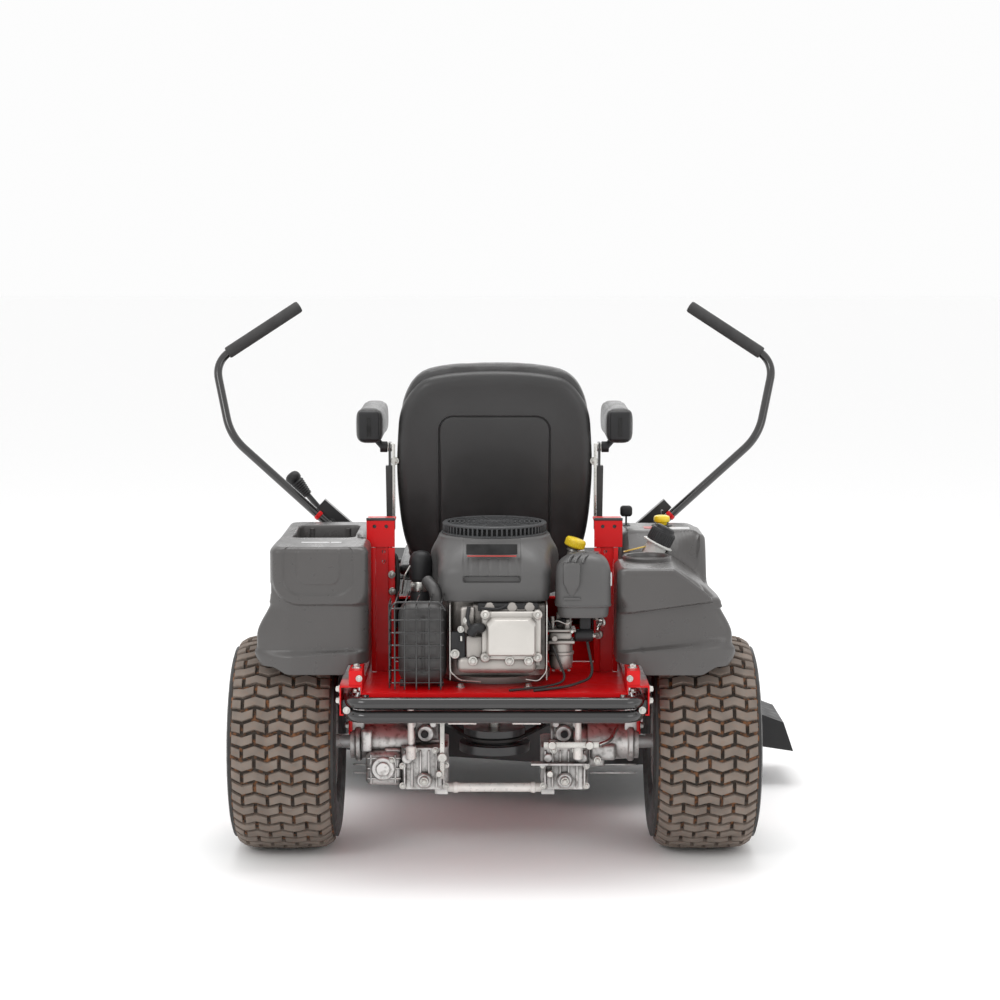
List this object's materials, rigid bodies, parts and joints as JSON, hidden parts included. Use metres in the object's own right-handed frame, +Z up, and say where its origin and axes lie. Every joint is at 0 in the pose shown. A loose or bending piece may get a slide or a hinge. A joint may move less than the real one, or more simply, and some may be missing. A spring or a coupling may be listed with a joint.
{
  "type": "zero turn mower",
  "caption": "Rear-engined ride-on mower steered by two lap bars, with a padded seat, moulded fenders, front casters and a twin-blade side-discharge deck.",
  "frame": {"origin": "on the ground, under the middle of the mower's box", "axes": "+Y forward, +X to the operator's right, +Z up"},
  "size_m": [1.3679, 1.7197, 1.1658],
  "materials": {
    "red_paint": "gloss",
    "black_paint": "satin",
    "fender_plastic": "satin moulded",
    "engine_plastic": "satin moulded",
    "black_plastic": "matt moulded",
    "translucent_plastic": "translucent moulded",
    "yellow_plastic": "gloss",
    "seat_vinyl": "grained vinyl",
    "cast_aluminium": "cast",
    "bare_steel": "zinc plated",
    "muffler_steel": "matt high temperature",
    "rim_paint": "gloss",
    "tyre_rubber": "used turf tread",
    "belt_rubber": "matt",
    "foam_grip": "foam"
  },
  "bodies": {
    "chassis": {"frame_rail_left": "red_paint", "frame_rail_right": "red_paint", "front_beam": "red_paint", "engine_plate": "red_paint", "upright_left": "red_paint", "upright_right": "red_paint", "rear_bumper": "black_paint", "floor_pan": "black_paint", "fender_left": "fender_plastic", "fender_right": "fender_plastic", "fuel_tank": "translucent_plastic", "battery": "black_plastic", "engine_block": "cast_aluminium", "valve_cover": "cast_aluminium", "blower_housing": "engine_plastic", "fan_guard": "black_plastic", "air_filter": "engine_plastic", "carburettor": "cast_aluminium", "muffler": "muffler_steel", "muffler_guard": "black_paint", "starter_motor": "black_plastic", "transaxle_left": "cast_aluminium", "transaxle_right": "cast_aluminium", "drive_belt": "belt_rubber", "deck_belt": "belt_rubber"},
    "crank": {"crankshaft": "bare_steel"},
    "clutch": {"pto_clutch": "black_paint"},
    "hydro_left": {"transaxle_pulley_left": "black_paint"},
    "hydro_right": {"transaxle_pulley_right": "black_paint"},
    "rear_wheel_left": {"rear_rim_left": "rim_paint", "rear_tyre_left": "tyre_rubber"},
    "rear_wheel_right": {"rear_rim_right": "rim_paint", "rear_tyre_right": "tyre_rubber"},
    "caster_left": {"caster_fork_left": "black_paint"},
    "caster_right": {"caster_fork_right": "black_paint"},
    "front_wheel_left": {"front_rim_left": "rim_paint", "front_tyre_left": "tyre_rubber"},
    "front_wheel_right": {"front_rim_right": "rim_paint", "front_tyre_right": "tyre_rubber"},
    "seat": {"seat_pan": "black_paint", "seat_shell": "black_plastic", "seat_back_pad": "seat_vinyl", "seat_cushion": "seat_vinyl"},
    "armrest_l": {"armrest_left": "seat_vinyl"},
    "armrest_r": {"armrest_right": "seat_vinyl"},
    "control_arm_left": {"lever_base_left": "black_paint"},
    "control_arm_right": {"lever_base_right": "black_paint"},
    "lap_bar_left": {"lever_bar_left": "black_paint"},
    "lap_bar_right": {"lever_bar_right": "black_paint"},
    "deck": {"deck_shell": "black_paint"},
    "blade_left": {"blade_spindle_left": "bare_steel"},
    "blade_right": {"blade_spindle_right": "bare_steel"},
    "chute": {"chute_deflector": "black_plastic"},
    "rollers": {"deck_rollers": "black_plastic"},
    "deck_lever": {"lift_lever": "black_plastic"},
    "throttle": {"throttle_lever": "black_plastic"},
    "blade_switch": {"pto_knob": "yellow_plastic"},
    "key": {"ignition_key": "black_plastic"},
    "filler_cap": {"fuel_cap": "black_plastic"},
    "dipstick": {"oil_cap": "yellow_plastic"}
  },
  "joints": [
    {"name": "rear_wheel_left_spin", "type": "hinge", "parent": "chassis", "child": "rear_wheel_left", "pos_m": [-0.47981, -0.55, 0.229], "axis": [1, 0, 0], "continuous": true},
    {"name": "rear_wheel_right_spin", "type": "hinge", "parent": "chassis", "child": "rear_wheel_right", "pos_m": [0.41019, -0.55, 0.229], "axis": [1, 0, 0], "continuous": true},
    {"name": "caster_left_swivel", "type": "hinge", "parent": "chassis", "child": "caster_left", "pos_m": [-0.48481, 0.775, 0.37], "axis": [0, 0, 1], "continuous": true},
    {"name": "front_wheel_left_spin", "type": "hinge", "parent": "caster_left", "child": "front_wheel_left", "pos_m": [-0.48481, 0.71, 0.14], "axis": [1, 0, 0], "continuous": true},
    {"name": "caster_right_swivel", "type": "hinge", "parent": "chassis", "child": "caster_right", "pos_m": [0.41519, 0.775, 0.37], "axis": [0, 0, 1], "continuous": true},
    {"name": "front_wheel_right_spin", "type": "hinge", "parent": "caster_right", "child": "front_wheel_right", "pos_m": [0.41519, 0.71, 0.14], "axis": [1, 0, 0], "continuous": true},
    {"name": "seat_tilt", "type": "hinge", "parent": "chassis", "child": "seat", "pos_m": [-0.03481, 0.025, 0.545], "axis": [-1, 0, 0], "range_deg": [0, 60]},
    {"name": "armrest_left_flip", "type": "hinge", "parent": "seat", "child": "armrest_l", "pos_m": [-0.28281, -0.378, 0.852], "axis": [1, 0, 0], "range_deg": [0, 95]},
    {"name": "armrest_right_flip", "type": "hinge", "parent": "seat", "child": "armrest_r", "pos_m": [0.21319, -0.378, 0.852], "axis": [1, 0, 0], "range_deg": [0, 95]},
    {"name": "lap_bar_left_drive", "type": "hinge", "parent": "chassis", "child": "control_arm_left", "pos_m": [-0.30981, -0.215, 0.596], "axis": [1, 0, 0], "range_deg": [-15, 15], "stiffness_Nm_per_rad": 120},
    {"name": "lap_bar_left_swing", "type": "hinge", "parent": "control_arm_left", "child": "lap_bar_left", "pos_m": [-0.40881, -0.215, 0.657], "axis": [0, 1, 0], "range_deg": [0, 33]},
    {"name": "lap_bar_right_drive", "type": "hinge", "parent": "chassis", "child": "control_arm_right", "pos_m": [0.24019, -0.215, 0.596], "axis": [1, 0, 0], "range_deg": [-15, 15], "stiffness_Nm_per_rad": 120},
    {"name": "lap_bar_right_swing", "type": "hinge", "parent": "control_arm_right", "child": "lap_bar_right", "pos_m": [0.33919, -0.215, 0.657], "axis": [0, -1, 0], "range_deg": [0, 33]},
    {"name": "deck_lift", "type": "slide", "parent": "chassis", "child": "deck", "axis": [0, 0, 1], "range_m": [0, 0.05], "deforming": ["deck_belt"]},
    {"name": "deck_lever_pull", "type": "hinge", "parent": "chassis", "child": "deck_lever", "pos_m": [-0.30981, -0.14, 0.52], "axis": [-1, 0, 0], "range_deg": [0, 28]},
    {"name": "blade_left_spin", "type": "hinge", "parent": "deck", "child": "blade_left", "pos_m": [-0.29281, 0.23, 0.198], "axis": [0, 0, 1], "continuous": true},
    {"name": "blade_right_spin", "type": "hinge", "parent": "deck", "child": "blade_right", "pos_m": [0.22319, 0.07, 0.198], "axis": [0, 0, 1], "continuous": true},
    {"name": "clutch_spin", "type": "hinge", "parent": "chassis", "child": "clutch", "pos_m": [-0.03481, -0.61, 0.251], "axis": [0, 0, 1], "continuous": true},
    {"name": "chute_lift", "type": "hinge", "parent": "deck", "child": "chute", "pos_m": [0.51231, 0.13, 0.19], "axis": [0, -1, 0], "range_deg": [0, 80]},
    {"name": "rollers_spin", "type": "hinge", "parent": "deck", "child": "rollers", "pos_m": [-0.03481, 0.55712, 0.115], "axis": [1, 0, 0], "continuous": true},
    {"name": "crank_spin", "type": "hinge", "parent": "chassis", "child": "crank", "pos_m": [-0.03481, -0.61, 0.45], "axis": [0, 0, 1], "continuous": true},
    {"name": "hydro_left_spin", "type": "hinge", "parent": "chassis", "child": "hydro_left", "pos_m": [-0.18481, -0.52, 0.314], "axis": [0, 0, 1], "continuous": true},
    {"name": "hydro_right_spin", "type": "hinge", "parent": "chassis", "child": "hydro_right", "pos_m": [0.11519, -0.52, 0.314], "axis": [0, 0, 1], "continuous": true},
    {"name": "throttle_move", "type": "hinge", "parent": "chassis", "child": "throttle", "pos_m": [0.25919, -0.328, 0.65], "axis": [1, 0, 0], "range_deg": [-15, 15]},
    {"name": "blade_switch_pull", "type": "slide", "parent": "chassis", "child": "blade_switch", "axis": [0, 0, 1], "range_m": [0, 0.012]},
    {"name": "key_turn", "type": "hinge", "parent": "chassis", "child": "key", "pos_m": [0.34119, -0.302, 0.673], "axis": [0, 0, 1], "range_deg": [0, 60]},
    {"name": "filler_cap_turn", "type": "hinge", "parent": "chassis", "child": "filler_cap", "pos_m": [0.31719, -0.5, 0.65], "axis": [0.454, 0, 0.891], "continuous": true},
    {"name": "dipstick_turn", "type": "hinge", "parent": "chassis", "child": "dipstick", "pos_m": [0.13311, -0.598, 0.65516], "axis": [0.309, 0, 0.9511], "continuous": true}
  ],
  "couplings": [
    {"joint": "deck_lever_pull", "follows": "deck_lift", "rad_per_m": 9.7738},
    {"joint": "blade_right_spin", "follows": "blade_left_spin", "ratio": 1},
    {"joint": "clutch_spin", "follows": "blade_left_spin", "ratio": 1.4},
    {"joint": "hydro_left_spin", "follows": "crank_spin", "ratio": 0.93548},
    {"joint": "hydro_right_spin", "follows": "crank_spin", "ratio": 0.93548}
  ]
}
